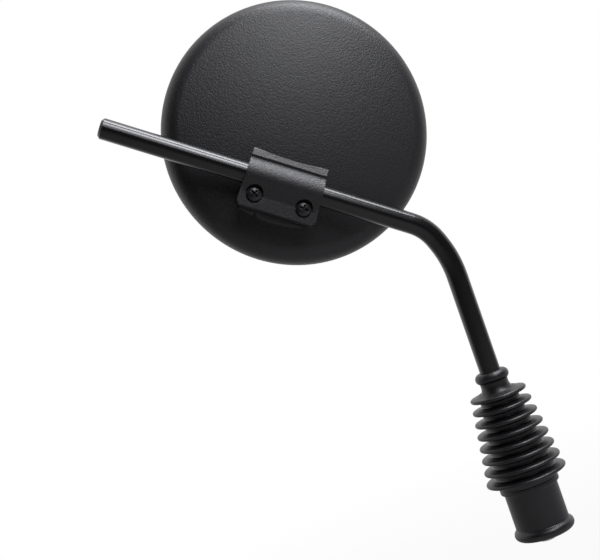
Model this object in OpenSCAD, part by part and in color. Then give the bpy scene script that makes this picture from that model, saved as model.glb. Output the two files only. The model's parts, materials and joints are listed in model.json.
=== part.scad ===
// Round clamp-on motorcycle mirror on a bent stem, with a folding knuckle in a rubber boot.
// Millimetres. Origin on the stud's axis at the lock nut's lower face, +Z up the stem,
// the bent stem in the XZ plane with its free end towards -X, the glass towards +Y.

/* [Stem] */
// Diameter of the stem rod
rod_d = 10; // [9:0.5:11]
// Straight length from the fold pivot up to the bend
lower_len = 86.4; // [80:0.2:105]
// Straight length from the bend to the free end
upper_len = 152; // [140:0.5:172]
// Angle that the rod is bent through
bend_angle = 54; // [45:1:62]
// Radius of the bend on the rod's centre line
bend_r = 24; // [20:1:32]
// Part of the angle over which the bend eases into the lower run
ease_angle = 21; // [12:1:26]
// Radius of that easing
ease_r = 50; // [35:1:65]
// Chamfer on the free end
rod_chamfer = 1.2; // [0.5:0.1:2]

/* [Base and lock nut] */
// Thread diameter of the mounting stud
stud_d = 10; // [8:0.5:10]
// Length of the stud below the lock nut
stud_len = 22; // [18:1:26]
// Chamfer on the stud's tip
stud_chamfer = 1; // [0.5:0.1:1.5]
// How much the thread run-out above the seat is turned down, on diameter
runout_cut = 0.4; // [0.2:0.1:0.6]
// Lock nut across flats
lock_nut_af = 17; // [16:0.5:17.5]
// Lock nut height
lock_nut_h = 6; // [5:0.5:8]
// Chamfer at both ends of every nut's bore
nut_chamfer = 0.4; // [0.3:0.1:0.5]
// Diameter of the knuckle's round flange
flange_d = 22; // [21:0.5:24]
// Thickness of the flange
flange_h = 4; // [3:0.5:5]
// Width across the two spanner flats on the flange
flange_flats = 19; // [17:0.5:20]

/* [Fold pivot] */
// Height of the pivot above the flange
pivot_rise = 13; // [12:0.5:15]
// Diameter of the pivot bolt
pivot_d = 5; // [4:0.5:5.5]
// Thickness of each clevis ear
ear_t = 3; // [2.5:0.5:3.5]
// Radius of the ears and of the stem's eye
eye_r = 7; // [6:0.5:7.5]
// Thickness of the flattened eye
eye_t = 5; // [4:0.5:5.5]
// Height over which the flattened end runs out into the round rod
eye_runout = 5; // [4:0.5:8]
// Thickness of each friction washer
friction_t = 0.5; // [0.4:0.1:0.8]
// Diameter of the friction washers
friction_d = 13; // [11:0.5:13.5]
// Thickness of the disc spring's sheet
spring_t = 0.6; // [0.4:0.1:0.8]
// Height of the disc spring's cone
spring_cone = 0.3; // [0.2:0.1:0.4]
// Diameter of the disc spring
spring_d = 11; // [9.5:0.5:12]
// Pivot bolt head diameter
pivot_head_d = 9; // [8:0.5:10]
// Pivot bolt head height
pivot_head_h = 2.4; // [2:0.1:2.8]
// Diameter of the head's flat top
pivot_head_top_d = 6.5; // [5.5:0.1:7.5]
// Depth of the socket in the bolt head
pivot_socket_depth = 1.3; // [1:0.1:1.6]
// Hexagon socket in the bolt head, across flats
pivot_socket_af = 3; // [2.5:0.5:3.5]
// Pivot nut across flats
pivot_nut_af = 8; // [7.5:0.5:8.5]
// How far the bolt's end stands out of its nut
pivot_bolt_proud = 0.4; // [0.2:0.1:1]
// Pivot nut height
pivot_nut_h = 2.7; // [2.5:0.1:3]

/* [Rubber boot] */
// Number of folds
fold_count = 8; // [5:1:9]
// Distance between folds
fold_pitch = 5.8; // [5.2:0.1:6.6]
// Depth of each fold
fold_depth = 4.6; // [3.5:0.1:5.5]
// Radius of the rounded fold edges
fold_edge_r = 1.05; // [0.8:0.05:1.2]
// Width of the bottom of each groove between folds
groove_w = 2; // [1.2:0.1:2.4]
// Height of the lowest fold above the collar
fold_rise = 3.35; // [3:0.05:4]
// Wall of the boot at the grooves
boot_wall = 1.4; // [1:0.1:1.6]
// Margin of the topmost groove outside the rod
top_root_margin = 4.5; // [4:0.1:6]
// Step from the sleeve out to the lowest groove
bottom_root_step = 1.5; // [1:0.1:2.5]
// Wall of the plain sleeve
sleeve_wall = 1.8; // [1.4:0.1:2.4]
// How far the sleeve hangs below the lock nut's seat
sleeve_drop = 19.2; // [15:0.2:21]
// Height of the bead at the sleeve's mouth
mouth_bead_h = 5.2; // [4:0.2:6]
// How far the mouth bead stands out from the sleeve
mouth_bead_out = 1.7; // [1:0.1:2.4]
// Height of the collar under the folds
collar_h = 2.8; // [2:0.1:3.5]
// Depth of the lip inside the collar that snaps under the flange
snap_lip = 0.8; // [0.5:0.1:1]
// How far the collar and the inner rib stand from the sleeve
collar_out = 1.4; // [1:0.1:2]
// Height of the bead that grips the rod
grip_bead_h = 5.2; // [4:0.2:6]
// Radial thickness of the bead that grips the rod
grip_bead_t = 3.1; // [2.5:0.1:3.6]
// Radial thickness of the neck below that bead
neck_t = 1.5; // [1.2:0.1:2]
// Height of the neck above the topmost fold
neck_rise = 5.1; // [4:0.1:6.5]

/* [Clamp] */
// Distance from the bend to the middle of the clamp
head_at = 63.4; // [57:0.1:74]
// How far the head is turned about the rod as it is set
head_turn = 5; // [0:1:15]
// Wall of the split liner between rod and clamp
liner_wall = 1; // [0.8:0.1:1.3]
// Slit along the liner
liner_slit = 1.6; // [1:0.1:2.5]
// Length of the clamp along the rod
clamp_len = 36; // [33:0.5:40]
// How much wider the plate is at its lower edge
clamp_flare = 2; // [0:0.2:3]
// Height of the clamp above the rod's axis
clamp_up = 11.3; // [11:0.1:13]
// Depth of the clamp below the rod's axis
clamp_down = 15.5; // [15:0.1:18]
// Wall of the plate's half-round over the liner
hump_wall = 2.1; // [1.8:0.1:2.6]
// Distance from the rod's axis to the plate's flat face
plate_face = 4.6; // [4.2:0.1:5.2]
// Distance from the rod's axis to the plate's inner face
plate_inner = 1.2; // [0.8:0.1:1.5]
// Radius of the lip along the plate's upper edge
lip_r = 1.6; // [1.2:0.1:1.8]
// How far that lip stands off the plate's inner face
lip_set = 0.5; // [0.3:0.1:0.8]
// Radius of the groove between lip and half-round
lip_groove_r = 1.4; // [1:0.1:2]
// How far the plate's upper edge dips at its middle
top_sag = 1.2; // [0.6:0.1:1.6]
// Radius that blends the half-round into the flat
hump_blend_r = 6; // [4:0.5:8]
// Radius of the plate's lower corners
plate_corner_r = 2.6; // [1.5:0.1:4]
// Width of the raised border round the flat
border_w = 1.1; // [0.8:0.1:1.8]
// Height of that border
border_h = 0.3; // [0.2:0.05:0.5]
// How far the housing's saddle stays inside the plate's edge
saddle_inset = 0.6; // [0.3:0.1:1.2]
// Gap left between plate and saddle at the screws
clamp_gap = 0.8; // [0.4:0.1:1]

/* [Clamp screws] */
// Distance of each screw from its end of the clamp
screw_edge = 6; // [5:0.5:7]
// Distance of the screws below the rod's axis
screw_drop = 9.1; // [8.7:0.1:10]
// Thread diameter of the screws
screw_d = 4; // [3:0.5:4]
// Diameter of the screw heads
screw_head_d = 7; // [6.5:0.1:7.5]
// Height of the screw heads
screw_head_h = 2.6; // [2:0.1:3]
// Height of the straight side under a head's dome
screw_side_h = 1.1; // [0.8:0.1:1.4]
// Length of the screws under the head
screw_len = 18; // [17:0.5:19]
// Width of the cross recess's arms
cross_w = 0.9; // [0.7:0.1:1.1]
// Length of the cross recess's arms from tip to tip
cross_len = 4.2; // [3.4:0.1:4.6]
// Depth of the cross recess
cross_depth = 1.5; // [1:0.1:1.8]
// Angle that the left screw's cross stands at
left_cross = 28; // [0:1:89]
// Angle that the right screw's cross stands at
right_cross = 5; // [0:1:89]
// Diameter of the sunk seat round each head
seat_d = 8.5; // [8:0.1:9]
// Depth of that seat in the plate
seat_depth = 1.6; // [1.2:0.1:2]
// How far the screws' ends stand out of their nuts
screw_proud = 0.6; // [0.3:0.1:1]
// Captive nut across flats
clamp_nut_af = 7; // [6:0.5:7]
// Captive nut height
clamp_nut_h = 3.2; // [2.4:0.1:3.4]

/* [Mirror housing] */
// Outside diameter of the head
mirror_d = 130; // [120:1:140]
// Height of the head's centre above the rod's axis
head_rise = 30.5; // [28:0.5:34]
// Distance from the rod's axis to the housing's front edge
front_set = 23.5; // [22.5:0.5:26]
// Height of the straight side wall behind the front edge
side_h = 1.5; // [1:0.1:2.5]
// Radius of the shoulder between side and dome
shoulder_r = 10; // [8:0.5:11]
// Depth of the dome behind the side wall
dome_depth = 14.5; // [13.5:0.1:15.5]
// Wall of the housing
housing_wall = 2.4; // [2:0.1:2.8]
// Rounding of the front edge
front_edge_r = 0.5; // [0.3:0.1:0.8]
// Thickness of the stiffening ribs inside
rib_t = 1.6; // [1.2:0.1:2.2]
// Number of stiffening ribs
rib_count = 8; // [6:1:12]
// How far the ribs stay below the hub that carries the pad
rib_drop = 0.5; // [0.2:0.1:1]
// Diameter of the hub where the ribs meet
hub_d = 24; // [18:1:26]
// Wall of the nut bosses inside
boss_wall = 2.2; // [1.8:0.1:2.6]

/* [Glass and rim] */
// Width of the black border round the visible glass
rim_cover = 3.2; // [2.8:0.1:3.8]
// Thickness of the glass
glass_t = 2; // [1.8:0.1:2.4]
// Radius of the convex glass
glass_curve_r = 1400; // [1000:50:2000]
// How far the rim covers the glass edge
glass_lap = 0.55; // [0.4:0.05:0.8]
// Width of the ledge that the glass rests on
ledge_w = 2.9; // [2:0.1:3.5]
// Thickness of the lip left outside the rim ring
housing_lip = 1.2; // [1:0.1:1.4]
// Thickness of the rim ring's front lip
rim_lip_t = 1.2; // [0.8:0.1:1.5]
// How far the rim ring stands in front of the housing
rim_proud = 0.4; // [0.2:0.1:0.8]
// Depth of the rim ring behind its lip
rim_skirt = 1.15; // [0.8:0.05:1.4]
// Thickness of the foam pad at its edge
pad_t = 2.4; // [1.8:0.1:2.6]

/* [Clearances] */
// Radial running clearance of the rod, the liner and the pivot
run_gap = 0.05; // [0.03:0.01:0.08]
// Gap between flat faces that slide on each other
face_gap = 0.05; // [0.03:0.01:0.08]
// Gap between rubber and the metal that it hugs
rubber_gap = 0.2; // [0.15:0.05:0.3]
// Gap between rubber and the rod that it grips
grip_gap = 0.1; // [0.05:0.01:0.15]
// Gap between pieces of the glass stack
stack_gap = 0.05; // [0.03:0.01:0.1]
// Gap between the foam pad's edge and the ledge
pad_edge_gap = 0.5; // [0.3:0.1:1]
// Clearance round screws and captive nuts
screw_gap = 0.2; // [0.15:0.05:0.3]
// Space left free round the pivot parts inside the boot and over the flange
knuckle_gap = 1; // [0.8:0.1:1.2]

/* [Hidden] */
$fn = 96;

// Rod, stud and knuckle heights
rod_r = rod_d / 2;
runout_r = (stud_d - runout_cut) / 2;
flange_z = lock_nut_h + knuckle_gap;
flange_top = flange_z + flange_h;
pivot_z = flange_top + pivot_rise;
bend_z = pivot_z + lower_len;
ear_half_gap = eye_t / 2 + friction_t + 2 * face_gap;
ear_outer = ear_half_gap + ear_t;
spring_seat = ear_outer + spring_t + spring_cone;
pivot_bore_r = pivot_d / 2 + run_gap;
shank_start = pivot_z + eye_r + knuckle_gap;
eye_tuck = 0.2;
eye_top_r = sqrt(pow(rod_r, 2) - pow(eye_t / 2, 2)) - eye_tuck;
bend_lap = 0.5;
bend_thin = 0.01;
cut_lap = 0.01;
bolt_tip = spring_seat + pivot_nut_h + pivot_bolt_proud;
ease_gap = 2;

// Boot heights and radii
sleeve_bore_r = flange_d / 2 + rubber_gap;
sleeve_r = sleeve_bore_r + sleeve_wall;
collar_top = flange_z + rubber_gap;
low_fold_z = collar_top + fold_rise;
top_fold_z = low_fold_z + (fold_count - 1) * fold_pitch;
low_root_r = sleeve_r + bottom_root_step;
top_root_r = rod_r + top_root_margin;
neck_z = top_fold_z + neck_rise;
boot_top = neck_z + grip_bead_h;
grip_r = rod_r + grip_gap;
boot_soft = 0.6;

// Clamp sections
liner_in_r = rod_r + run_gap;
liner_out_r = liner_in_r + liner_wall;
saddle_r = liner_out_r + run_gap;
hump_r = saddle_r + hump_wall;
field_face = plate_face - border_h;
blend_x = field_face + hump_blend_r;
blend_y = -sqrt(pow(hump_r + hump_blend_r, 2) - pow(blend_x, 2));
lip_y = clamp_up - lip_r;
lip_x = plate_inner + lip_r + lip_set;
lip_groove = touching(lip_x, lip_y, hump_r + lip_groove_r, lip_r + lip_groove_r);
blend_turn = atan(blend_y / blend_x);
groove_turn = atan(lip_groove[1] / lip_groove[0]);
lip_turn = atan2(lip_y - lip_groove[1], lip_x - lip_groove[0]);
screw_seat = plate_face - seat_depth;
screw_spacing = clamp_len - 2 * screw_edge;

// Housing profile, with r from the head's axis and y from the rod's axis
head_r = mirror_d / 2;
side_y = front_set - side_h;
dome_rise = dome_depth - shoulder_r;
dome_r = (pow(dome_depth, 2) + pow(head_r - shoulder_r, 2) - pow(shoulder_r, 2)) / (2 * dome_rise);
dome_y = side_y - dome_depth + dome_r;
tangent_angle = atan((head_r - shoulder_r) / (dome_y - side_y));
inner_r = head_r - housing_wall;
rebate_r = head_r - housing_lip;
ledge_r = inner_r - ledge_w;
opening_r = head_r - rim_cover;
glass_r = opening_r + glass_lap;
rim_front = front_set + rim_proud;
glass_edge_y = rim_front - rim_lip_t - stack_gap;
glass_face_y = glass_edge_y + glass_curve_r - sqrt(pow(glass_curve_r, 2) - pow(glass_r, 2));
ledge_y = glass_edge_y - glass_t - 2 * stack_gap;
rebate_y = rim_front - rim_lip_t - rim_skirt;
pad_back_y = ledge_y - pad_t;
rib_start = hub_d / 2 - housing_wall / 2;
rib_top = pad_back_y - stack_gap - rib_drop;
boss_r = (clamp_nut_af / 2 + screw_gap) / cos(30) + boss_wall;
nut_y = screw_len - screw_seat - clamp_nut_h - screw_proud;
boss_lap = 3;
pad_r = ledge_r - pad_edge_gap;
mouth_cut = 2 * (rim_front - ledge_y);
rim_edge_r = 0.6;

// Points along a circle's arc from angle a0 to a1 in n steps
function arc(cx, cy, r, a0, a1, n) =
    [for (i = [0:n]) let (a = a0 + (a1 - a0) * i / n) [cx + r * cos(a), cy + r * sin(a)]];

// The point at distance ra from the origin and rb from (cx, cy), on the outer side of both
function touching(cx, cy, ra, rb) =
    let (d = norm([cx, cy]))
    let (along = (ra * ra - rb * rb + d * d) / (2 * d))
    let (off = sqrt(ra * ra - along * along))
    [(cx * along + cy * off) / d, (cy * along - cx * off) / d];

// The housing's skin from the middle of the dome to the side wall, at depth t under the outside
function skin(t) = concat(
    arc(0, dome_y, dome_r - t, -90, tangent_angle - 90, 14),
    arc(head_r - shoulder_r, side_y, shoulder_r - t, tangent_angle - 90, 0, 9));

// Height of fold i and of the groove above it, counted from the lowest fold
function fold_z(i) = low_fold_z + i * fold_pitch;
function root_r(i) = low_root_r + (top_root_r - low_root_r) * i / (fold_count - 2);
function fold_r(i) = root_r(i - 0.5) + fold_depth;

// Extrudes a section along X, its first axis out to -Y and its second up to +Z
module along_rod(len) {
    rotate([90, 0, -90]) linear_extrude(height = len, center = true) children();
}

// Extrudes an outline drawn in X and Z away from the glass, over the depth from y0 to y1
module outwards(y0, y1) {
    translate([0, y0, 0]) rotate([90, 0, 0]) linear_extrude(height = y0 - y1) children();
}

// Extrudes an outline drawn in Y and Z across the knuckle, centred on x0
module across(x0, t) {
    translate([x0, 0, 0]) rotate([90, 0, 90]) linear_extrude(height = t, center = true) children();
}

// A round bar along X at the pivot, from x0 to x1
module pivot_bar(r, x0, x1) {
    translate([x0, 0, pivot_z]) rotate([0, 90, 0]) cylinder(r = r, h = x1 - x0);
}

// A round bar along Y, from y0 to y1
module bar_y(r, y0, y1) {
    translate([0, y0, 0]) rotate([-90, 0, 0]) cylinder(r = r, h = y1 - y0);
}

// A hexagon nut with turned bevels at its corners and chamfers at its bore, standing on the XY plane
module hex_nut(af, h, bore_r) {
    corner = af / (2 * cos(30));
    bevel_h = (corner - af / 2) * tan(30);
    mouth_r = bore_r + nut_chamfer + cut_lap;
    difference() {
        intersection() {
            cylinder(r = corner, h = h, $fn = 6);
            rotate_extrude() polygon([[0, 0], [af / 2, 0], [corner + cut_lap, bevel_h],
                                      [corner + cut_lap, h - bevel_h], [af / 2, h], [0, h]]);
        }
        rotate_extrude() polygon([[0, -cut_lap], [mouth_r, -cut_lap], [bore_r, nut_chamfer],
                                  [bore_r, h - nut_chamfer], [mouth_r, h + cut_lap], [0, h + cut_lap]]);
    }
}

// Carries children, drawn along +Z, round a bend of the rod
module round_bend(r, angle) {
    translate([-r, 0, 0]) rotate([0, -angle, 0]) translate([r, 0, 0]) children();
}

// A bend of the rod, drawn in by a hair and let into what it joins at both ends
module rod_bend(r, angle) {
    translate([-r, 0, 0]) rotate([90, 0, 0]) rotate([0, 0, -bend_lap])
        rotate_extrude(angle = angle + 2 * bend_lap) translate([r, 0]) circle(r = rod_r - bend_thin);
}

// Puts children, drawn along +Z, at the short straight between the easing and the bend
module on_ease_end() {
    translate([0, 0, bend_z]) round_bend(ease_r, ease_angle) children();
}

// Puts children, drawn along +Z, on the upper run with the bend's end as their origin
module on_upper_run() {
    on_ease_end() translate([0, 0, ease_gap]) round_bend(bend_r, bend_angle - ease_angle) children();
}

// Puts children, drawn about the rod at the clamp with X along the rod, where the head sits
module on_head() {
    on_upper_run() translate([0, 0, head_at]) rotate([0, 90, 0]) rotate([-head_turn, 0, 0]) children();
}

// Puts a profile's revolve on the head's axis
module head_revolve() {
    translate([0, 0, head_rise]) rotate([-90, 0, 0]) rotate_extrude($fn = 180) children();
}

// Places children at the two screws, or at one of them
module at_screw(side) {
    translate([side * screw_spacing / 2, 0, -screw_drop]) children();
}

module knuckle_base() {
    color([0.62, 0.62, 0.6]) difference() {
        union() {
            rotate_extrude() polygon([[0, -stud_len], [stud_d / 2 - stud_chamfer, -stud_len],
                                      [stud_d / 2, stud_chamfer - stud_len], [stud_d / 2, 0],
                                      [runout_r, 0], [runout_r, flange_z + flange_h / 2],
                                      [0, flange_z + flange_h / 2]]);
            intersection() {
                translate([0, 0, flange_z]) cylinder(d = flange_d, h = flange_h);
                translate([-flange_d, -flange_flats / 2, flange_z])
                    cube([2 * flange_d, flange_flats, flange_h]);
            }
            for (side = [-1, 1]) across(side * (ear_half_gap + ear_t / 2), ear_t) union() {
                translate([0, pivot_z]) circle(r = eye_r);
                translate([-eye_r, flange_top - flange_h / 2]) square([2 * eye_r, pivot_rise + flange_h / 2]);
            }
        }
        pivot_bar(pivot_bore_r, -ear_outer - 1, ear_outer + 1);
    }
}

module lock_nut() {
    color([0.66, 0.65, 0.6]) hex_nut(lock_nut_af, lock_nut_h, runout_r + run_gap);
}

module pivot_bolt() {
    color([0.6, 0.6, 0.6]) union() {
        difference() {
            translate([-ear_outer, 0, pivot_z]) rotate([0, -90, 0])
                cylinder(d1 = pivot_head_d, d2 = pivot_head_top_d, h = pivot_head_h);
            translate([pivot_socket_depth - pivot_head_h - ear_outer, 0, pivot_z]) rotate([0, -90, 0])
                cylinder(d = pivot_socket_af / cos(30), h = pivot_head_h, $fn = 6);
        }
        pivot_bar(pivot_d / 2, -ear_outer, bolt_tip);
    }
}

module pivot_nut() {
    color([0.66, 0.65, 0.6]) translate([spring_seat, 0, pivot_z]) rotate([0, 90, 0])
        hex_nut(pivot_nut_af, pivot_nut_h, pivot_bore_r);
}

module disc_spring() {
    color([0.45, 0.45, 0.46]) translate([ear_outer, 0, pivot_z]) rotate([0, 90, 0]) rotate_extrude()
        polygon([[pivot_bore_r, spring_cone], [spring_d / 2, 0], [spring_d / 2, spring_t],
                 [pivot_bore_r, spring_cone + spring_t]]);
}

module friction_washer(side) {
    middle = side * (eye_t / 2 + face_gap + friction_t / 2);
    color([0.5, 0.36, 0.24]) difference() {
        pivot_bar(friction_d / 2, middle - friction_t / 2, middle + friction_t / 2);
        pivot_bar(pivot_bore_r, middle - friction_t, middle + friction_t);
    }
}

module stem() {
    color([0.05, 0.05, 0.055]) difference() {
        union() {
            // Flattened end with the pivot eye
            across(0, eye_t) union() {
                translate([0, pivot_z]) circle(r = eye_r);
                polygon([[-eye_r, pivot_z], [eye_r, pivot_z], [eye_top_r, shank_start + eye_runout],
                         [-eye_top_r, shank_start + eye_runout]]);
            }
            // Lower run, with the run-out from the flat end
            rotate_extrude() polygon([[0, shank_start], [eye_t / 2, shank_start],
                                      [rod_r, shank_start + eye_runout], [rod_r, bend_z], [0, bend_z]]);
            // Easing, a short straight and the bend
            translate([0, 0, bend_z]) rod_bend(ease_r, ease_angle);
            on_ease_end() cylinder(r = rod_r, h = ease_gap);
            on_ease_end() translate([0, 0, ease_gap]) rod_bend(bend_r, bend_angle - ease_angle);
            // Upper run
            on_upper_run() union() {
                cylinder(r = rod_r, h = upper_len - rod_chamfer);
                translate([0, 0, upper_len - rod_chamfer])
                    cylinder(r1 = rod_r, r2 = rod_r - rod_chamfer, h = rod_chamfer);
            }
        }
        pivot_bar(pivot_bore_r, -eye_t, eye_t);
    }
}

// Outline of the boot's outside, from the mouth up to the grip bead
function boot_outside() = concat(
    arc(sleeve_r + mouth_bead_out - mouth_bead_h / 2, mouth_bead_h / 2 - sleeve_drop,
        mouth_bead_h / 2, -90, 70, 8),
    [[sleeve_r, mouth_bead_h + boot_soft - sleeve_drop], [sleeve_r, collar_top - collar_h - boot_soft]],
    arc(sleeve_r + collar_out - boot_soft, collar_top - collar_h + boot_soft, boot_soft, -60, 0, 3),
    [[sleeve_r + collar_out, collar_top - boot_soft]],
    [for (i = [0:fold_count - 1]) each concat(
        [[root_r(max(i - 1, 0)), fold_z(i) - fold_pitch / 2 + groove_w / 2]],
        arc(fold_r(i) - fold_edge_r, fold_z(i), fold_edge_r, -62, 62, 6),
        [[root_r(min(i, fold_count - 2)), fold_z(i) + fold_pitch / 2 - groove_w / 2]])],
    [[grip_r + neck_t, neck_z - boot_soft], [grip_r + neck_t, neck_z]],
    arc(grip_r + grip_bead_t - grip_bead_h / 2, neck_z + grip_bead_h / 2, grip_bead_h / 2, -62, 90, 8));

// Outline of the boot's inside, from the grip bead down to the mouth
function boot_inside() = concat(
    [[grip_r, boot_top], [grip_r, neck_z - boot_wall]],
    [for (i = [fold_count - 1:-1:0]) each concat(
        [[fold_r(i) - fold_edge_r - boot_wall, fold_z(i)],
         [root_r(max(i - 1, 0)) - boot_wall, fold_z(i) - fold_pitch / 2 + groove_w / 2]],
        i == 0 ? [] : [[root_r(i - 1) - boot_wall, fold_z(i) - fold_pitch / 2 - groove_w / 2]])],
    [[sleeve_bore_r, collar_top], [sleeve_bore_r, flange_z - rubber_gap],
     [sleeve_bore_r - snap_lip, flange_z - rubber_gap], [sleeve_bore_r - snap_lip, collar_top - collar_h],
     [sleeve_bore_r, collar_top - collar_h - snap_lip], [sleeve_bore_r, -sleeve_drop]]);

module rubber_boot() {
    color([0.07, 0.07, 0.075]) rotate_extrude() polygon(concat(boot_outside(), boot_inside()));
}

module rod_liner() {
    color([0.1, 0.1, 0.1]) on_head() difference() {
        rotate([0, 90, 0]) cylinder(r = liner_out_r, h = clamp_len, center = true);
        rotate([0, 90, 0]) cylinder(r = liner_in_r, h = clamp_len + 2, center = true);
        translate([0, 0, -liner_out_r])
            cube([clamp_len + 2, liner_slit, 2 * liner_out_r - liner_in_r], center = true);
    }
}

// Outline of plate or saddle seen from behind, drawn in by an inset, with its upper edge dipping
module clamp_outline(inset) {
    bottom = inset - clamp_down;
    half_top = clamp_len / 2 - inset;
    half_low = (clamp_len + clamp_flare) / 2 - inset;
    r = plate_corner_r;
    sag_r = (half_top * half_top + top_sag * top_sag) / (2 * top_sag);
    sag_turn = asin(half_top / sag_r);
    polygon(concat(
        arc(-half_low + r, bottom + r, r, 180, 270, 6),
        arc(half_low - r, bottom + r, r, 270, 360, 6),
        arc(0, clamp_up - inset - top_sag + sag_r, sag_r, sag_turn - 90, -sag_turn - 90, 12)));
}

// Section of the plate, out from the rod's axis and up
module plate_section() {
    polygon(concat(
        [[plate_inner, -clamp_down], [field_face, -clamp_down]],
        arc(blend_x, blend_y, hump_blend_r, 180, 180 + blend_turn, 6),
        arc(0, 0, hump_r, blend_turn, groove_turn, 14),
        arc(lip_groove[0], lip_groove[1], lip_groove_r, groove_turn - 180, lip_turn - 360, 5),
        arc(lip_x, lip_y, lip_r, lip_turn - 180, 180, 10),
        [[plate_inner, lip_y - lip_set]],
        arc(0, 0, saddle_r, acos(plate_inner / saddle_r), -acos(plate_inner / saddle_r), 20)));
}

module clamp_plate() {
    color([0.12, 0.12, 0.125]) on_head() difference() {
        union() {
            intersection() {
                along_rod(clamp_len + clamp_flare) plate_section();
                outwards(0, -hump_r - 1) clamp_outline(0);
            }
            // Raised border round the flat
            outwards(-plate_inner, -plate_face) intersection() {
                difference() {
                    clamp_outline(0);
                    clamp_outline(border_w);
                }
                translate([-clamp_len, -saddle_r - clamp_len]) square([2 * clamp_len, clamp_len]);
            }
        }
        for (side = [-1, 1]) at_screw(side) {
            bar_y(seat_d / 2, -hump_r - 1, -screw_seat);
            bar_y(screw_d / 2 + screw_gap, -screw_seat - 1, 0);
        }
    }
}

module clamp_screw(side) {
    color([0.06, 0.06, 0.065]) on_head() at_screw(side) difference() {
        union() {
            bar_y(screw_d / 2, -screw_seat - screw_side_h / 2, screw_len - screw_seat);
            translate([0, -screw_seat, 0]) rotate([90, 0, 0]) rotate_extrude($fn = 48) polygon(concat(
                [[0, 0], [screw_head_d / 2, 0]],
                [for (a = [0:15:90])
                    [screw_head_d / 2 * cos(a), screw_side_h + (screw_head_h - screw_side_h) * sin(a)]]));
        }
        translate([0, -screw_seat - screw_head_h, 0]) rotate([0, side < 0 ? left_cross : right_cross, 0]) {
            cube([cross_len, 2 * cross_depth, cross_w], center = true);
            cube([cross_w, 2 * cross_depth, cross_len], center = true);
        }
    }
}

module clamp_nut(side) {
    color([0.66, 0.65, 0.6]) on_head() at_screw(side) translate([0, nut_y, 0]) rotate([-90, 0, 0])
        hex_nut(clamp_nut_af, clamp_nut_h, screw_d / 2 + run_gap);
}

module mirror_housing() {
    color([0.085, 0.085, 0.09]) on_head() difference() {
        union() {
            difference() {
                union() {
                    head_revolve() polygon(concat(skin(0),
                        arc(head_r - front_edge_r, front_set - front_edge_r, front_edge_r, 0, 90, 3),
                        [[0, front_set]]));
                    // Saddle under the rod, higher along the plate's lip
                    outwards(pad_back_y - 1, clamp_gap - plate_inner) clamp_outline(saddle_inset);
                    outwards(0, stack_gap - plate_inner) intersection() {
                        clamp_outline(saddle_inset);
                        translate([-clamp_len, saddle_r]) square([2 * clamp_len, clamp_len]);
                    }
                }
                // Hollow of the dish, with the ledge and the rebate at its mouth
                head_revolve() union() {
                    intersection() {
                        polygon(concat(skin(housing_wall), [[0, side_y]]));
                        square([ledge_r, side_y]);
                    }
                    translate([0, ledge_y - cut_lap]) square([ledge_r, mouth_cut]);
                    translate([0, ledge_y]) square([inner_r, mouth_cut]);
                    translate([0, rebate_y]) square([rebate_r, mouth_cut]);
                }
            }
            // Ribs and hub, kept inside the skin
            intersection() {
                translate([0, 0, head_rise]) for (i = [0.5:rib_count])
                    rotate([0, i * 360 / rib_count, 0]) translate([rib_start, 0, -rib_t / 2])
                        cube([ledge_r + ledge_w / 2 - rib_start, rib_top, rib_t]);
                head_revolve() polygon(concat(skin(housing_wall / 2), [[0, side_y]]));
            }
            translate([0, 0, head_rise])
                bar_y(hub_d / 2, dome_y - dome_r + housing_wall / 2, pad_back_y - stack_gap);
            intersection() {
                for (side = [-1, 1]) at_screw(side) bar_y(boss_r, nut_y - boss_lap, nut_y + clamp_nut_h);
                head_revolve() polygon(concat(skin(housing_wall / 2), [[0, side_y]]));
            }
        }
        rotate([0, 90, 0]) cylinder(r = saddle_r, h = 2 * clamp_len, center = true);
        for (side = [-1, 1]) at_screw(side) {
            bar_y(screw_d / 2 + screw_gap, -plate_face, nut_y + clamp_nut_h);
            translate([0, nut_y, 0]) rotate([-90, 0, 0])
                cylinder(r = (clamp_nut_af / 2 + screw_gap) / cos(30), h = 2 * clamp_nut_h, $fn = 6);
        }
    }
}

// Points along the glass at radius steps, at depth t behind its face
function glass_line(r, t) = [for (i = [0:10]) let (x = r * i / 10)
    [x, glass_face_y - t - glass_curve_r + sqrt(pow(glass_curve_r, 2) - pow(x, 2))]];

function reversed(list) = [for (i = [len(list) - 1:-1:0]) list[i]];

module mirror_glass() {
    color([0.8, 0.82, 0.84]) on_head() head_revolve()
        polygon(concat(glass_line(glass_r, 0), reversed(glass_line(glass_r, glass_t))));
}

module glass_pad() {
    color([0.2, 0.2, 0.2]) on_head() head_revolve() polygon(concat(
        glass_line(pad_r, glass_t + 2 * stack_gap), [[pad_r, pad_back_y], [0, pad_back_y]]));
}

module rim_ring() {
    outer = rebate_r - stack_gap;
    skirt = glass_r + 2 * stack_gap;
    lip_back = rim_front - rim_lip_t;
    color([0.06, 0.06, 0.065]) on_head() head_revolve() polygon(concat(
        [[skirt, rebate_y + stack_gap], [outer, rebate_y + stack_gap]],
        arc(outer - rim_edge_r, rim_front - rim_edge_r, rim_edge_r, 0, 90, 4),
        arc(opening_r + rim_edge_r, rim_front - rim_edge_r, rim_edge_r, 90, 180, 4),
        [[opening_r, lip_back], [skirt, lip_back]]));
}

knuckle_base();
lock_nut();
pivot_bolt();
pivot_nut();
disc_spring();
friction_washer(-1);  // friction_washer_left
friction_washer(1);  // friction_washer_right
rubber_boot();
stem();
rod_liner();
mirror_housing();
clamp_plate();
clamp_screw(-1);  // clamp_screw_left
clamp_screw(1);  // clamp_screw_right
clamp_nut(-1);  // clamp_nut_left
clamp_nut(1);  // clamp_nut_right
glass_pad();
mirror_glass();
rim_ring();
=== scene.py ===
import json
from math import cos, pi, radians, sin

import bpy
from bpy.props import FloatProperty, FloatVectorProperty, IntProperty, PointerProperty
from mathutils import Matrix, Vector


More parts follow.
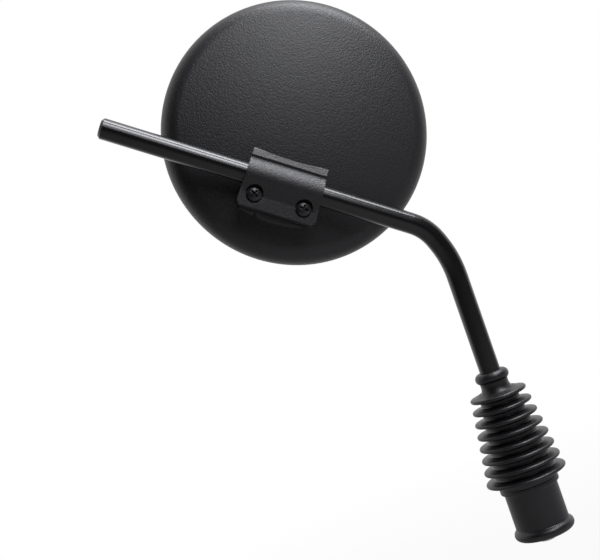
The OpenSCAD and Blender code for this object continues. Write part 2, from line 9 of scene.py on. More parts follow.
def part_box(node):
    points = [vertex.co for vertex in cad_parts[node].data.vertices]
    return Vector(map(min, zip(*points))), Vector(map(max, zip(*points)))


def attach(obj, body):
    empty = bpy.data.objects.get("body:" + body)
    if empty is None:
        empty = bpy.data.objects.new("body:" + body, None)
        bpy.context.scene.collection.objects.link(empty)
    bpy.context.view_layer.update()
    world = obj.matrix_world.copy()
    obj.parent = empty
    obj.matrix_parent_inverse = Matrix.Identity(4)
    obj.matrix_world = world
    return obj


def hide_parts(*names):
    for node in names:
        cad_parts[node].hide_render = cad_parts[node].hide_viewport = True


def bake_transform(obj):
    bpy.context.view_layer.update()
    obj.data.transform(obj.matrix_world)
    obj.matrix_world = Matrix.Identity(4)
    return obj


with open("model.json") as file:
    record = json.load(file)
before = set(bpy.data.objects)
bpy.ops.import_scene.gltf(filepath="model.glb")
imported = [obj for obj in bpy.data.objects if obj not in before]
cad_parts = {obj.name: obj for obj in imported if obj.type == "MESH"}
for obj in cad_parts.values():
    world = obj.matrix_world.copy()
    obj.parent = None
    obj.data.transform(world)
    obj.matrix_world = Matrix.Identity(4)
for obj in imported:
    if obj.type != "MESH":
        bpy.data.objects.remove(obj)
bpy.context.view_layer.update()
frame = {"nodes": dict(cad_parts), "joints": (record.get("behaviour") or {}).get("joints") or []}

bl_info = {
    "name": "Round Rod Mirror",
    "version": (1, 0, 0),
    "blender": (4, 5, 0),
    "location": "View3D > Sidebar > Mirror",
    "description": "Dresses a round clamp-on mirror with its finishes and its finest forms",
    "category": "Object",
}

MM = 0.001
# Points nearer than this are one point
WELD = 0.002 * MM
# Edges that turn by more than this are rounded and stay sharp in the shading
SHARP_CORNER = radians(32)
# Flat faces are made one where they turn by less than this, in degrees
FLAT = 0.3
# The glass is so shallow that its facets need a finer limit
GLASS_FLAT = 0.01
ROD_JOINT = "head_turn"
# Turn of the head about the rod at rest
HEAD_TURN = radians(5)
# Turn of the boot's mould line about the stem
SEAM_TURN = radians(20)
STUD_R = 5 * MM
ROD_R = 5 * MM
# Rows of the clamp lip, with heights in millimetres above the rod and shares of the flare that
# each moves down and out. The highest comes first and the rest from the lowest up, so that none
# is moved twice
LIP_ROWS = (
    (10.0, 12.0, -0.75, 0.0), (6.6, 6.9, 0.0, 0.35), (6.9, 7.2, 0.0, 0.5),
    (7.2, 7.6, 0.0, 0.62), (7.6, 8.05, 0.05, 0.8), (8.05, 8.5, 0.2, 0.98),
    (8.5, 8.95, 0.2, 0.9), (8.95, 9.5, 0.1, 0.5), (9.5, 10.0, -0.2, 0.15))
# What lies further than this from the glass is the plate's outer face
LIP_OUTER = -3.4 * MM
# The camera in the head's frame from the clamp: its place in millimetres and its turns in degrees
CAMERA_AT = (-43.16, -618.22, -115.64)
CAMERA_YAW, CAMERA_PITCH, CAMERA_ROLL = 16.67, -5.78, -6.893
CAMERA_LENS = 80.84
SENSOR = 36.0
# Lamps about the view: name, degrees up from the camera over the top, degrees to its right,
# size in metres and power in watts
LAMPS = (
    ("overhead", 77, 80, (0.5, 0.24), 5.6),
    ("behind_top", 98, 0, (0.5, 0.45), 2.6),
    ("upper_front", 57, 22, (0.28, 0.28), 4.2),
    ("front", 40, 10, (0.4, 0.4), 1.7))
LAMP_AIM = Vector((-0.04, 0, 0.15))
LAMP_REACH = 0.9
LAMP_COLOUR = (0.95, 0.955, 1.0)
FLOOR_Z = -0.06
FLOOR_R = 3.0
# How far from the stem the floor has faded to white
FLOOR_FADE = 0.45


def colour(name, words, value):
    """A colour property with its default."""
    return FloatVectorProperty(
        name=name, description=words, subtype="COLOR", size=3, min=0, max=1, default=value)


def length(name, words, value):
    """A length property in millimetres, kept in metres."""
    return FloatProperty(name=name, description=words, default=value * MM, unit="LENGTH", precision=5)


class MirrorFinishes(bpy.types.PropertyGroup):
    """Colours and grain of the mirror's materials."""

    plastic: colour("Plastic", "Colour of the grained plastic", (0.012, 0.012, 0.0132))
    paint: colour("Paint", "Colour of the rod's paint", (0.007, 0.007, 0.0075))
    rubber: colour("Rubber", "Colour of the boot", (0.008, 0.008, 0.009))
    steel: colour("Steel", "Colour of the plated steel", (0.62, 0.62, 0.6))
    glass: colour("Glass", "Tint of the silvered glass", (0.86, 0.87, 0.88))
    grain_size: length("Grain size", "Size of one pebble of the plastic's grain", 0.9)
    grain_depth: length("Grain depth", "Depth of the plastic's grain", 0.11)


class MirrorForms(bpy.types.PropertyGroup):
    """Sizes of the forms that are modelled here."""

    lip_flare: length("Lip flare", "How far the clamp's upper lip flares outwards", 1.2)
    fold_count: IntProperty(name="Folds", description="Number of folds on the boot", default=8, min=3)
    fold_pitch: length("Fold pitch", "Distance between two folds", 5.8)
    fold_depth: length("Fold depth", "Depth of a fold", 4.6)
    fold_edge: length("Fold edge", "Radius of a fold's rounded edge", 0.95)
    fold_root: length("Fold root", "Half the thickness of a fold at its root", 1.5)
    fold_fillet: length("Fold fillet", "Radius between a fold and the groove beside it", 0.8)
    boot_wall: length("Boot wall", "Wall of the boot at its grooves", 1.4)
    thread_pitch: length("Thread pitch", "Pitch of the stud's thread", 1.25)


def pick_none():
    """Leaves nothing selected."""
    if bpy.context.mode != "OBJECT":
        bpy.ops.object.mode_set(mode="OBJECT")
    bpy.ops.object.select_all(action="DESELECT")


def pick(piece):
    """Selects one piece and makes it the active one."""
    pick_none()
    piece.select_set(True)
    bpy.context.view_layer.objects.active = piece
    return piece


def edit(piece, what="VERT"):
    """Opens a piece in edit mode with all of it selected."""
    pick(piece)
    bpy.ops.object.mode_set(mode="EDIT")
    bpy.ops.mesh.select_mode(type=what)
    bpy.ops.mesh.select_all(action="SELECT")


def done():
    """Leaves edit mode."""
    bpy.ops.object.mode_set(mode="OBJECT")


def edit_where(piece, test):
    """Opens a piece in edit mode with the points selected that pass a test."""
    edit(piece)
    bpy.ops.mesh.select_all(action="DESELECT")
    done()
    for vertex in piece.data.vertices:
        vertex.select = test(vertex.co)
    bpy.ops.object.mode_set(mode="EDIT")


def apply_modifiers(piece):
    """Applies every modifier of a piece in order."""
    pick(piece)
    for modifier in list(piece.modifiers):
        bpy.ops.object.modifier_apply(modifier=modifier.name)


def welded_copy(node, name, flat=FLAT):
    """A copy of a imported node, welded, with what is flat within so many degrees made whole."""
    piece = bpy.data.objects.new(name, frame["nodes"][node].data.copy())
    bpy.context.scene.collection.objects.link(piece)
    piece.data.materials.clear()
    edit(piece)
    bpy.ops.mesh.remove_doubles(threshold=WELD)
    bpy.ops.mesh.dissolve_limited(angle_limit=radians(flat))
    done()
    return piece


def round_edges(piece, width, segments=2):
    """Rounds a piece's sharp edges, as far as its shortest edges allow, and shades it smooth."""
    bevel = piece.modifiers.new("Round", "BEVEL")
    bevel.width = width
    bevel.segments = segments
    bevel.limit_method = "ANGLE"
    bevel.angle_limit = SHARP_CORNER
    bevel.use_clamp_overlap = True
    bevel.harden_normals = False
    apply_modifiers(piece)
    edit(piece)
    bpy.ops.mesh.remove_doubles(threshold=WELD)
    bpy.ops.mesh.dissolve_degenerate(threshold=WELD)
    done()
    pick(piece)
    bpy.ops.object.shade_smooth_by_angle(angle=SHARP_CORNER)
    weigh = piece.modifiers.new("Weigh", "WEIGHTED_NORMAL")
    weigh.keep_sharp = True
    weigh.weight = 80
    apply_modifiers(piece)


def place(piece, body, slot, finish, *nodes):
    """Seats a finished piece on its body, in its finish, for the nodes that it stands for."""
    piece.data.materials.clear()
    piece.data.materials.append(finish)
    if body:
        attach(piece, body)
    if nodes:
        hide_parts(*nodes)
    return piece


def dressed(node, name, body, finish, width, flat=FLAT):
    """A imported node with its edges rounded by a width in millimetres, in its finish."""
    piece = welded_copy(node, name, flat)
    round_edges(piece, width * MM)
    return place(piece, body, finish.name, finish, node)


def arc(centre_r, centre_z, radius, start, end, steps):
    """Points on an arc, as (radius, height) pairs."""
    turns = [radians(start + (end - start) * i / steps) for i in range(steps + 1)]
    return [(centre_r + radius * cos(t), centre_z + radius * sin(t)) for t in turns]


def spun(name, outline, steps):
    """Spins a closed (radius, height) outline about the stem's axis."""
    pick_none()
    bpy.ops.mesh.primitive_circle_add(vertices=len(outline), radius=1, fill_type="NOTHING")
    piece = bpy.context.object
    piece.name = name
    for vertex, (r, z) in zip(piece.data.vertices, outline):
        vertex.co = (r, 0, z)
    edit(piece)
    bpy.ops.mesh.spin(steps=steps, angle=2 * pi, center=(0, 0, 0), axis=(0, 0, 1))
    bpy.ops.mesh.select_all(action="SELECT")
    bpy.ops.mesh.remove_doubles(threshold=WELD)
    bpy.ops.mesh.normals_make_consistent(inside=False)
    done()
    return piece


def cut_thread(piece, crest_r, depth, pitch, low, high):
    """Cuts a V thread into a round stud about the Z axis, between two heights."""
    pick_none()
    bpy.ops.mesh.primitive_circle_add(vertices=4, radius=1, fill_type="NOTHING")
    cutter = bpy.context.object
    root_half, flank = 0.07 * pitch, 0.47 * pitch
    section = ((crest_r - depth, -root_half), (crest_r + depth * 0.15, -flank),
               (crest_r + depth * 0.15, flank), (crest_r - depth, root_half))
    for vertex, (r, z) in zip(cutter.data.vertices, section):
        vertex.co = (r, 0, low + z)
    coil = cutter.modifiers.new("Coil", "SCREW")
    coil.screw_offset = pitch
    coil.iterations = round((high - low) / pitch)
    coil.steps = coil.render_steps = 40
    coil.use_merge_vertices = True
    coil.merge_threshold = 0.001 * MM
    apply_modifiers(cutter)
    edit(cutter, "EDGE")
    bpy.ops.mesh.select_all(action="DESELECT")
    bpy.ops.mesh.select_non_manifold()
    bpy.ops.mesh.edge_face_add()
    bpy.ops.mesh.select_all(action="SELECT")
    bpy.ops.mesh.quads_convert_to_tris()
    bpy.ops.mesh.normals_make_consistent(inside=False)
    done()
    thread = piece.modifiers.new("Thread", "BOOLEAN")
    thread.operation = "DIFFERENCE"
    thread.solver = "EXACT"
    thread.object = cutter
    apply_modifiers(piece)
    bpy.data.objects.remove(cutter)


class Amount:
    """A shader value, on which arithmetic adds Math nodes."""

    def __init__(self, finish, socket):
        self.finish = finish
        self.socket = socket

    def _with(self, operation, *others):
        return self.finish.math(operation, self, *others)

    def __add__(self, other):
        return self._with("ADD", other)

    def __sub__(self, other):
        return self._with("SUBTRACT", other)

    def __mul__(self, other):
        return self._with("MULTIPLY", other)

    def __truediv__(self, other):
        return self._with("DIVIDE", other)

    def __rsub__(self, other):
        return self.finish.math("SUBTRACT", other, self)

    def __lt__(self, other):
        return self._with("LESS_THAN", other)

    __radd__ = __add__
    __rmul__ = __mul__


class Finish:
    """A node tree under construction, for a material or the world."""

    def __init__(self, owner):
        owner.use_nodes = True
        self.owner = owner
        self.tree = owner.node_tree
        self.tree.nodes.clear()

    def node(self, kind, settings=None, inputs=None, output=0):
        """Adds a node, sets it, then its sockets, and gives back one output."""
        made = self.tree.nodes.new(kind)
        for key, value in (settings or {}).items():
            setattr(made, key, value)
        for key, value in (inputs or {}).items():
            socket = made.inputs[key]
            if isinstance(value, Amount):
                self.tree.links.new(value.socket, socket)
            elif socket.type == "RGBA":
                socket.default_value = (*value, 1)
            else:
                socket.default_value = value
        return Amount(self, made.outputs[output]) if made.outputs else None

    def math(self, operation, *values):
        """A Math node on values or numbers."""
        return self.node("ShaderNodeMath", {"operation": operation}, dict(enumerate(values)))

    def where(self):
        """The point on the piece, in metres."""
        return self.node("ShaderNodeTexCoord", output="Object")

    def part(self, vector, axis):
        """One part of a vector, by the letter of its axis."""
        return self.node("ShaderNodeSeparateXYZ", None, {0: vector}, axis)

    def step(self, value, low, high):
        """A smooth step of a value, from 0 at the low end to 1 at the high one."""
        return self.node("ShaderNodeMapRange", {"interpolation_type": "SMOOTHSTEP"}, {
            "Value": value, "From Min": low, "From Max": high})

    def ray_kinds(self):
        """Light Path's outputs for the rays that see the background."""
        return {kind: self.node("ShaderNodeLightPath", output=f"Is {kind} Ray")
                for kind in ("Camera", "Glossy", "Transmission")}

    def noise(self, point, size, detail=3.0):
        """Noise whose lumps are about one size across."""
        inputs = {"Vector": point, "Scale": 1 / size, "Detail": detail}
        return self.node("ShaderNodeTexNoise", None, inputs)

    def blend(self, share, a, b):
        """Mixes two colours."""
        inputs = {0: share, 6: a, 7: b}
        return self.node("ShaderNodeMix", {"data_type": "RGBA"}, inputs, 2)

    def bump(self, height, depth):
        """A bump of a height from 0 to 1 and a depth in metres."""
        return self.node("ShaderNodeBump", None, {"Height": height, "Distance": depth, "Strength": 1.0})

    def speckled(self, share, tone, dark, light):
        """A colour that wanders between a darker and a lighter share of itself."""
        return self.blend(share, tuple(dark * c for c in tone), tuple(light * c for c in tone))

    def surface(self, **inputs):
        """Closes the tree with one plain surface shader."""
        named = {key.replace("_", " "): value for key, value in inputs.items()}
        shader = self.node("ShaderNodeBsdfPrincipled", None, named)
        self.node("ShaderNodeOutputMaterial", None, {"Surface": shader})
        return self.owner


def new_finish(name):
    """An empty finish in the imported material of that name, which its nodes share, or in a new one."""
    return Finish(bpy.data.materials.get(name) or bpy.data.materials.new(name))


def finishes():
    """The scene's finish properties."""
    return bpy.context.scene.mirror_finishes


def forms():
    """The scene's form properties."""
    return bpy.context.scene.mirror_forms


def grained_plastic():
    """Black plastic moulded against a leather-grained tool."""
    f = new_finish("grained_plastic")
    props = finishes()
    point = f.where()
    size = props.grain_size
    drift = f.node("ShaderNodeTexNoise", None, {"Vector": point, "Scale": 0.6 / size, "Detail": 1.0}, 1)
    wander = f.node("ShaderNodeVectorMath", {"operation": "MULTIPLY_ADD"}, {
        0: drift, 1: (size, size, size), 2: point})
    pebble = f.node("ShaderNodeTexVoronoi", {"feature": "SMOOTH_F1"}, {
        "Vector": wander, "Scale": 1 / size, "Smoothness": 0.6})
    sand = f.noise(point, size * 0.35)
    cloud = f.noise(point, 14 * MM, 4.0)
    height = (1.0 - pebble) * 0.75 + sand * 0.5
    base = f.speckled(cloud * 0.5 + sand * 0.4, props.plastic, 0.82, 1.25)
    normal = f.bump(height, props.grain_depth)
    return f.surface(Base_Color=base, Roughness=0.38 + sand * 0.12, Normal=normal)


def smooth_plastic(name, tone, rough):
    """Black plastic from a fine-blasted tool."""
    f = new_finish(name)
    point = f.where()
    fine = f.noise(point, 0.35 * MM)
    slow = f.noise(point, 9 * MM)
    base = f.speckled(slow, tone, 0.85, 1.2)
    return f.surface(Base_Color=base, Roughness=rough + fine * 0.08, Normal=f.bump(fine, 0.012 * MM))


def black_paint():
    """Satin black paint over the steel rod, with its faint flow."""
    f = new_finish("black_paint")
    props = finishes()
    point = f.where()
    flow = f.noise(point, 3.5 * MM, 2.0)
    dust = f.noise(point, 0.3 * MM, 2.0)
    base = f.speckled(dust, props.paint, 0.8, 1.3)
    normal = f.bump(flow + dust * 0.15, 0.02 * MM)
    return f.surface(Base_Color=base, Roughness=0.17 + dust * 0.08, Normal=normal)


def boot_rubber():
    """Matt black rubber with a dull bloom and a mould line down two sides of the sleeve."""
    f = new_finish("boot_rubber")
    props = finishes()
    point = f.where()
    x, y, z = (f.part(point, axis) for axis in "XYZ")
    speck = f.noise(point, 0.4 * MM)
    bloom = f.noise(point, 6 * MM, 4.0)
    seam_half, sleeve_top = 0.4 * MM, 8 * MM
    line = f.math("COMPARE", x * sin(SEAM_TURN) - y * cos(SEAM_TURN), 0.0, seam_half) * (z < sleeve_top)
    height = speck * 0.2 + line
    base = f.speckled(bloom, props.rubber, 0.8, 1.35)
    return f.surface(Base_Color=base, Roughness=0.33 + speck * 0.14, Normal=f.bump(height, 0.12 * MM))


def plated_steel(name, tone, rough):
    """Plated steel with faint turning marks."""
    f = new_finish(name)
    point = f.where()
    rings = f.noise(f.node("ShaderNodeCombineXYZ", None, {2: f.part(point, "Z")}), 0.25 * MM, 2.0)
    stain = f.noise(point, 5 * MM, 4.0)
    base = f.speckled(stain, tone, 0.86, 1.0)
    return f.surface(Base_Color=base, Metallic=1.0, Roughness=rough + stain * 0.14,
                     Normal=f.bump(rings, 0.01 * MM))


def friction_disc():
    """Pressed brown friction sheet."""
    f = new_finish("friction_disc")
    point = f.where()
    fibre = f.noise(point, 0.5 * MM, 5.0)
    base = f.blend(fibre, (0.22, 0.13, 0.07), (0.4, 0.27, 0.16))
    return f.surface(Base_Color=base, Roughness=0.8, Normal=f.bump(fibre, 0.03 * MM))


def foam_rubber():
    """Closed-cell foam."""
    f = new_finish("foam_rubber")
    cells = f.node("ShaderNodeTexVoronoi", None, {"Vector": f.where(), "Scale": 1 / (0.5 * MM)})
    base = f.blend(cells, (0.03, 0.03, 0.03), (0.075, 0.075, 0.075))
    return f.surface(Base_Color=base, Roughness=0.9, Normal=f.bump(cells, 0.1 * MM))


def silvered_glass():
    """Convex silvered glass with the faintest haze."""
    f = new_finish("mirror_glass")
    props = finishes()
    haze = f.noise(f.where(), 25 * MM, 3.0)
    base = f.speckled(haze, props.glass, 0.97, 1.0)
    return f.surface(Base_Color=base, Metallic=1.0, Roughness=0.02 + haze * 0.02)


def head_axes():
    """The head's frame: its origin on the rod, X along the rod, Y to the glass and Z up."""
    turn = next(j for j in frame["joints"] if j["name"] == ROD_JOINT)
    along = Vector(turn["axis"]).normalized()
    level = Vector((0, 1, 0))
    glassward = level * cos(HEAD_TURN) - along.cross(level) * sin(HEAD_TURN)
    return Vector(turn["pos_m"]), along, glassward, along.cross(glassward)


def boot_outline():
    """The boot's outline, outside from its mouth up and inside back down, in metres."""
    props = forms()
    low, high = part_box("rubber_boot")
    sleeve_bore, sleeve = 11.2 * MM, 13.0 * MM
    mouth_h, mouth_out, mouth_fillet = 5.2 * MM, 1.7 * MM, 0.9 * MM
    collar_top, collar_h, collar_out = 7.2 * MM, 2.8 * MM, 1.4 * MM
    collar_fillet, collar_low_edge, collar_top_edge = 0.6 * MM, 0.7 * MM, 0.5 * MM
    fold_rise, neck_rise, neck_fillet = 3.35 * MM, 6.4 * MM, 5.6 * MM
    # How much higher the bead stands than the solid's, as the photograph shows it
    bead_lift, bead_out = 1.3 * MM, 3.2 * MM
    grip, neck_bore_h = 0.1 * MM, 4.6 * MM
    flange_low, flange_grip = 6.8 * MM, 0.8 * MM
    pitch, edge, half, fillet = props.fold_pitch, props.fold_edge, props.fold_root, props.fold_fillet
    first = collar_top + fold_rise
    low_root, top_root = sleeve + 1.5 * MM, ROD_R + 4.5 * MM
    count = props.fold_count
    top = first + (count - 1) * pitch
    neck = top + neck_rise
    bead_h = high.z - neck + bead_lift

    def root(i):
        """Radius of the groove above a fold."""
        return low_root + (top_root - low_root) * i / (count - 2)

    out = arc(sleeve + mouth_out - mouth_h / 2, low.z + mouth_h / 2, mouth_h / 2, -90, 62, 12)
    out += arc(sleeve + mouth_fillet, low.z + mouth_h + 0.5 * MM, mouth_fillet, 235, 180, 5)
    out += arc(sleeve + collar_fillet, collar_top - collar_h - collar_fillet, collar_fillet, 180, 110, 4)
    out += arc(sleeve + collar_out - collar_low_edge, collar_top - collar_h + collar_low_edge,
               collar_low_edge, -75, 0, 5)
    out += arc(sleeve + collar_out - collar_top_edge, collar_top - collar_top_edge,
               collar_top_edge, 0, 50, 3)
    for i in range(count):
        z = first + i * pitch
        tip = root(i - 0.5) + props.fold_depth
        below = root(max(i - 1, 0))
        out += arc(below + fillet, z - half - fillet, fillet, 180, 101, 5)
        out += arc(tip - edge, z, edge, -79, 79, 12)
        if i < count - 1:
            out += arc(root(i) + fillet, z + half + fillet, fillet, 259, 180, 5)
    out += [(top_root + 0.6 * MM, top + half), (top_root - 0.3 * MM, top + half + 0.5 * MM)]
    out += arc(ROD_R + 7.3 * MM, neck - 1.2 * MM, neck_fillet, 222, 180, 6)
    out += arc(ROD_R + bead_out - bead_h / 2, neck + bead_h / 2, bead_h / 2, -62, 84, 12)
    inner = [(ROD_R + grip, neck + bead_h), (ROD_R + grip, neck - neck_bore_h)]
    for i in reversed(range(count)):
        z = first + i * pitch
        tip = root(i - 0.5) + props.fold_depth
        wall = root(max(i - 1, 0)) - props.boot_wall
        inner += [(tip - edge - props.boot_wall, z), (wall, z - pitch / 2 + 1 * MM)]
        if i:
            inner.append((wall, z - pitch / 2 - 1 * MM))
    inner += [(sleeve_bore, collar_top), (sleeve_bore, flange_low),
              (sleeve_bore - flange_grip, flange_low), (sleeve_bore - flange_grip, collar_top - collar_h),
              (sleeve_bore, collar_top - collar_h - flange_grip), (sleeve_bore, low.z)]
    return out + inner


class MIRROR_OT_housing(bpy.types.Operator):
    """Dress the round back shell"""

    bl_idname = "mirror.housing"
    bl_label = "Back shell"

    def execute(self, context):
        dressed("mirror_housing", "back_shell", "head", grained_plastic(), 0.3)
        return {"FINISHED"}


class MIRROR_OT_clamp(bpy.types.Operator):
    """Dress the clamp plate, its screws and nuts and the rod's liner"""

    bl_idname = "mirror.clamp"
    bl_label = "Clamp"

    def execute(self, context):
        plate = welded_copy("clamp_plate", "clamp_cover")
        self.flare_lip(plate)
        round_edges(plate, 0.3 * MM)
        place(plate, "head", "grained_plastic", bpy.data.materials["grained_plastic"], "clamp_plate")
        black = smooth_plastic("black_screw", (0.012, 0.012, 0.0125), 0.3)
        plated = plated_steel("passivated_steel", (0.6, 0.59, 0.54), 0.28)
        for side in ("left", "right"):
            dressed(f"clamp_screw_{side}", f"cross_screw_{side}", "head", black, 0.15)
            dressed(f"clamp_nut_{side}", f"screw_nut_{side}", "head", plated, 0.12)
        liner = smooth_plastic("liner_plastic", (0.02, 0.02, 0.02), 0.5)
        dressed("rod_liner", "split_liner", "liner", liner, 0.15)
        return {"FINISHED"}

    def flare_lip(self, plate):
        """Flares the plate's upper edge outwards, down to a narrow groove above the half-round."""
        origin, along, glassward, up = head_axes()
        reach = forms().lip_flare
        for low, high, drop, out in LIP_ROWS:

            def in_row(point):
                height = (point - origin).dot(up)
                outer = (point - origin).dot(glassward) < LIP_OUTER or not out
                return outer and low * MM < height < high * MM

            edit_where(plate, in_row)
            bpy.ops.transform.translate(value=up * -drop * reach + glassward * -out * reach)
            done()


class MIRROR_OT_glass(bpy.types.Operator):
    """Dress the glass, its rim and its pad"""

    bl_idname = "mirror.glass"
    bl_label = "Glass and rim"

    def execute(self, context):
        rim = smooth_plastic("rim_plastic", (0.013, 0.013, 0.014), 0.3)
        dressed("mirror_glass", "convex_glass", "head", silvered_glass(), 0.2, GLASS_FLAT)
        dressed("rim_ring", "glass_rim", "head", rim, 0.1)
        dressed("glass_pad", "foam_pad", "head", foam_rubber(), 0.4)
        return {"FINISHED"}


class MIRROR_OT_stem(bpy.types.Operator):
    """Dress the bent rod"""

    bl_idname = "mirror.stem"
    bl_label = "Stem"

    def execute(self, context):
        dressed("stem", "bent_rod", "stem", black_paint(), 0.3)
        return {"FINISHED"}


class MIRROR_OT_boot(bpy.types.Operator):
    """Model the ribbed rubber boot"""

    bl_idname = "mirror.boot"
    bl_label = "Rubber boot"

    def execute(self, context):
        boot = spun("ribbed_boot", boot_outline(), 96)
        pick(boot)
        bpy.ops.object.shade_smooth_by_angle(angle=radians(50))
        place(boot, None, "black_rubber", boot_rubber(), "rubber_boot")
        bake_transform(boot)
        return {"FINISHED"}


class MIRROR_OT_knuckle(bpy.types.Operator):
    """Dress the stud, its knuckle and the pivot pieces"""

    bl_idname = "mirror.knuckle"
    bl_label = "Stud and knuckle"

    def execute(self, context):
        zinc = plated_steel("zinc_steel", finishes().steel, 0.3)
        sprung = plated_steel("spring_steel", (0.3, 0.3, 0.31), 0.35)
        plated = bpy.data.materials["passivated_steel"]
        base = welded_copy("knuckle_base", "threaded_knuckle")
        pitch = forms().thread_pitch
        cut_thread(base, STUD_R, 0.7 * MM, pitch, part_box("knuckle_base")[0].z - pitch, -0.8 * pitch)
        round_edges(base, 0.08 * MM, segments=1)
        place(base, "root", "zinc_steel", zinc, "knuckle_base")
        dressed("pivot_bolt", "pivot_screw", "root", zinc, 0.25)
        dressed("lock_nut", "stud_nut", "root", plated, 0.2)
        dressed("pivot_nut", "pivot_lock_nut", "root", plated, 0.15)
        dressed("disc_spring", "cone_spring", "root", sprung, 0.1)
        brown = friction_disc()
        for side in ("left", "right"):
            dressed(f"friction_washer_{side}", f"friction_disc_{side}", "root", brown, 0.08)
        return {"FINISHED"}


def lamp(name, at, size, power, side):
    """A soft lamp at a point, turned to the part, with its width along a side direction."""
    pick_none()
    bpy.ops.object.light_add(type="AREA", location=at)
    light = bpy.context.object
    light.name = name
    light.data.shape = "RECTANGLE"
    light.data.size = size[0]
    light.data.size_y = size[1]
    light.data.energy = power
    light.data.color = LAMP_COLOUR
    back = (at - LAMP_AIM).normalized()
    level = back.cross(side).normalized()
    light.rotation_euler = Matrix((level.cross(back), level, back)).transposed().to_euler()


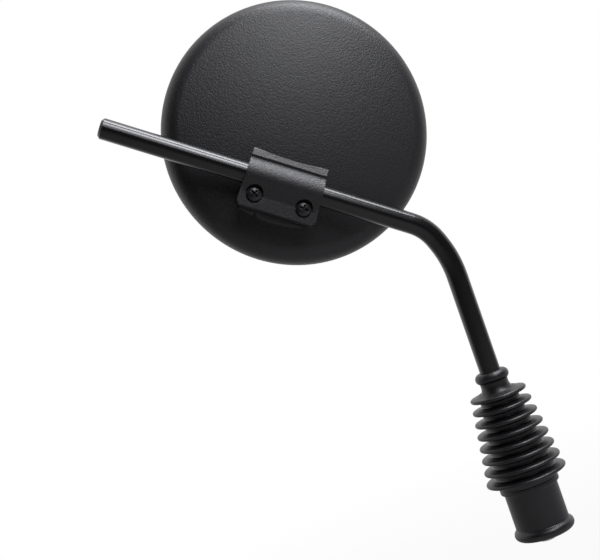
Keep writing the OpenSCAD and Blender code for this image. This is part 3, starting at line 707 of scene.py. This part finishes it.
class MIRROR_OT_stage(bpy.types.Operator):
    """Set the floor, the light and the camera"""

    bl_idname = "mirror.stage"
    bl_label = "Stage"

    def execute(self, context):
        self.floor()
        self.surroundings(context)
        self.lamps(self.camera(context))
        context.scene.view_settings.view_transform = "Standard"
        return {"FINISHED"}

    def floor(self):
        """A pale floor that fades to white away from the part, and is white behind it to gloss."""
        pick_none()
        bpy.ops.mesh.primitive_circle_add(
            vertices=96, radius=FLOOR_R, fill_type="NGON", location=(0, 0, FLOOR_Z))
        ground = bpy.context.object
        ground.name = "floor"
        f = new_finish("pale_floor")
        x, y = (f.part(f.where(), axis) for axis in "XY")
        far = f.math("SMOOTH_MIN", f.math("SQRT", x * x + y * y) / FLOOR_FADE, 1.0, 0.1)
        behind = f.step(y, 0.0, 0.5)
        path = f.ray_kinds()
        clear = f.math("MAXIMUM", path["Camera"] * (far * 0.12 + 0.88), path["Transmission"])
        share = f.math("MAXIMUM", clear, path["Glossy"] * behind)
        dull = f.node("ShaderNodeBsdfDiffuse", None, {"Color": (0.42, 0.42, 0.42)})
        white = f.node("ShaderNodeEmission", None, {"Color": (1, 1, 1), "Strength": 1.0})
        mixed = f.node("ShaderNodeMixShader", None, {0: share, 1: dull, 2: white})
        f.node("ShaderNodeOutputMaterial", None, {"Surface": mixed})
        ground.data.materials.append(f.owner)

    def surroundings(self, context):
        """White to the camera, white behind the part to gloss, and a dim room to everything else."""
        world = bpy.data.worlds.new("studio")
        context.scene.world = world
        f = Finish(world)
        wall = f.step(f.part(f.node("ShaderNodeTexCoord", output="Generated"), "Y"), -0.25, 0.4)
        path = f.ray_kinds()
        clear = f.math("MAXIMUM", path["Camera"], path["Transmission"])
        share = f.math("MAXIMUM", clear, path["Glossy"] * wall)
        dim = f.node("ShaderNodeBackground", None, {"Color": (1, 1, 1), "Strength": wall * 0.3 + 0.01})
        white = f.node("ShaderNodeBackground", None, {"Color": (1, 1, 1), "Strength": 1.0})
        mixed = f.node("ShaderNodeMixShader", None, {0: share, 1: dim, 2: white})
        f.node("ShaderNodeOutputWorld", None, {"Surface": mixed})

    def lamps(self, pose):
        """Two soft lamps overhead, one high in front and one in front, set about the view."""
        side, up, back = (pose.col[i].to_3d() for i in range(3))
        for name, rise, swing, size, power in LAMPS:
            rise, swing = radians(rise), radians(swing)
            level = back * cos(swing) + side * sin(swing)
            at = LAMP_AIM + LAMP_REACH * (up * sin(rise) + level * cos(rise))
            lamp(name, at, size, power, side)

    def camera(self, context):
        """The photograph's view, given in the head's frame from the clamp."""
        origin, along, glassward, up = head_axes()
        axes = Matrix((along, glassward, up)).transposed()
        yaw = Matrix.Rotation(radians(CAMERA_YAW), 3, "Z")
        pitch = Matrix.Rotation(radians(CAMERA_PITCH), 3, "Y")
        roll = Matrix.Rotation(radians(CAMERA_ROLL), 3, "X")
        turn = yaw @ pitch @ roll @ Matrix(((1, 0, 0), (0, 0, -1), (0, 1, 0)))
        right, down, ahead = (axes @ Vector(row) for row in turn)
        stand = origin + axes @ (Vector(CAMERA_AT) * MM)
        pick_none()
        bpy.ops.object.camera_add(location=stand)
        view = bpy.context.object
        view.name = "view"
        pose = Matrix((right, -down, -ahead)).transposed().to_4x4()
        pose.translation = stand
        view.matrix_world = pose
        view.data.lens = CAMERA_LENS
        view.data.sensor_width = SENSOR
        view.data.clip_start = 0.01
        context.scene.camera = view
        return pose


OPERATORS = (
    MIRROR_OT_housing, MIRROR_OT_clamp, MIRROR_OT_glass, MIRROR_OT_stem, MIRROR_OT_boot,
    MIRROR_OT_knuckle, MIRROR_OT_stage)


class MIRROR_PT_pieces(bpy.types.Panel):
    """The mirror's steps and sizes"""

    bl_idname = "MIRROR_PT_pieces"
    bl_label = "Mirror"
    bl_space_type = "VIEW_3D"
    bl_region_type = "UI"
    bl_category = "Mirror"

    def draw(self, context):
        for group in (context.scene.mirror_forms, context.scene.mirror_finishes):
            for key in group.__annotations__:
                self.layout.prop(group, key)
        for operator in OPERATORS:
            self.layout.operator(operator.bl_idname)


CLASSES = (MirrorFinishes, MirrorForms, *OPERATORS, MIRROR_PT_pieces)


def register():
    """Adds the classes and the scene's properties."""
    for each in CLASSES:
        bpy.utils.register_class(each)
    bpy.types.Scene.mirror_finishes = PointerProperty(type=MirrorFinishes)
    bpy.types.Scene.mirror_forms = PointerProperty(type=MirrorForms)


def unregister():
    """Takes the properties and the classes away again."""
    del bpy.types.Scene.mirror_forms
    del bpy.types.Scene.mirror_finishes
    for each in reversed(CLASSES):
        bpy.utils.unregister_class(each)


def main():
    """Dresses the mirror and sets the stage."""
    register()
    bpy.ops.mirror.housing()
    bpy.ops.mirror.clamp()
    bpy.ops.mirror.glass()
    bpy.ops.mirror.stem()
    bpy.ops.mirror.boot()
    bpy.ops.mirror.knuckle()
    bpy.ops.mirror.stage()


if __name__ == "__main__":
    main()
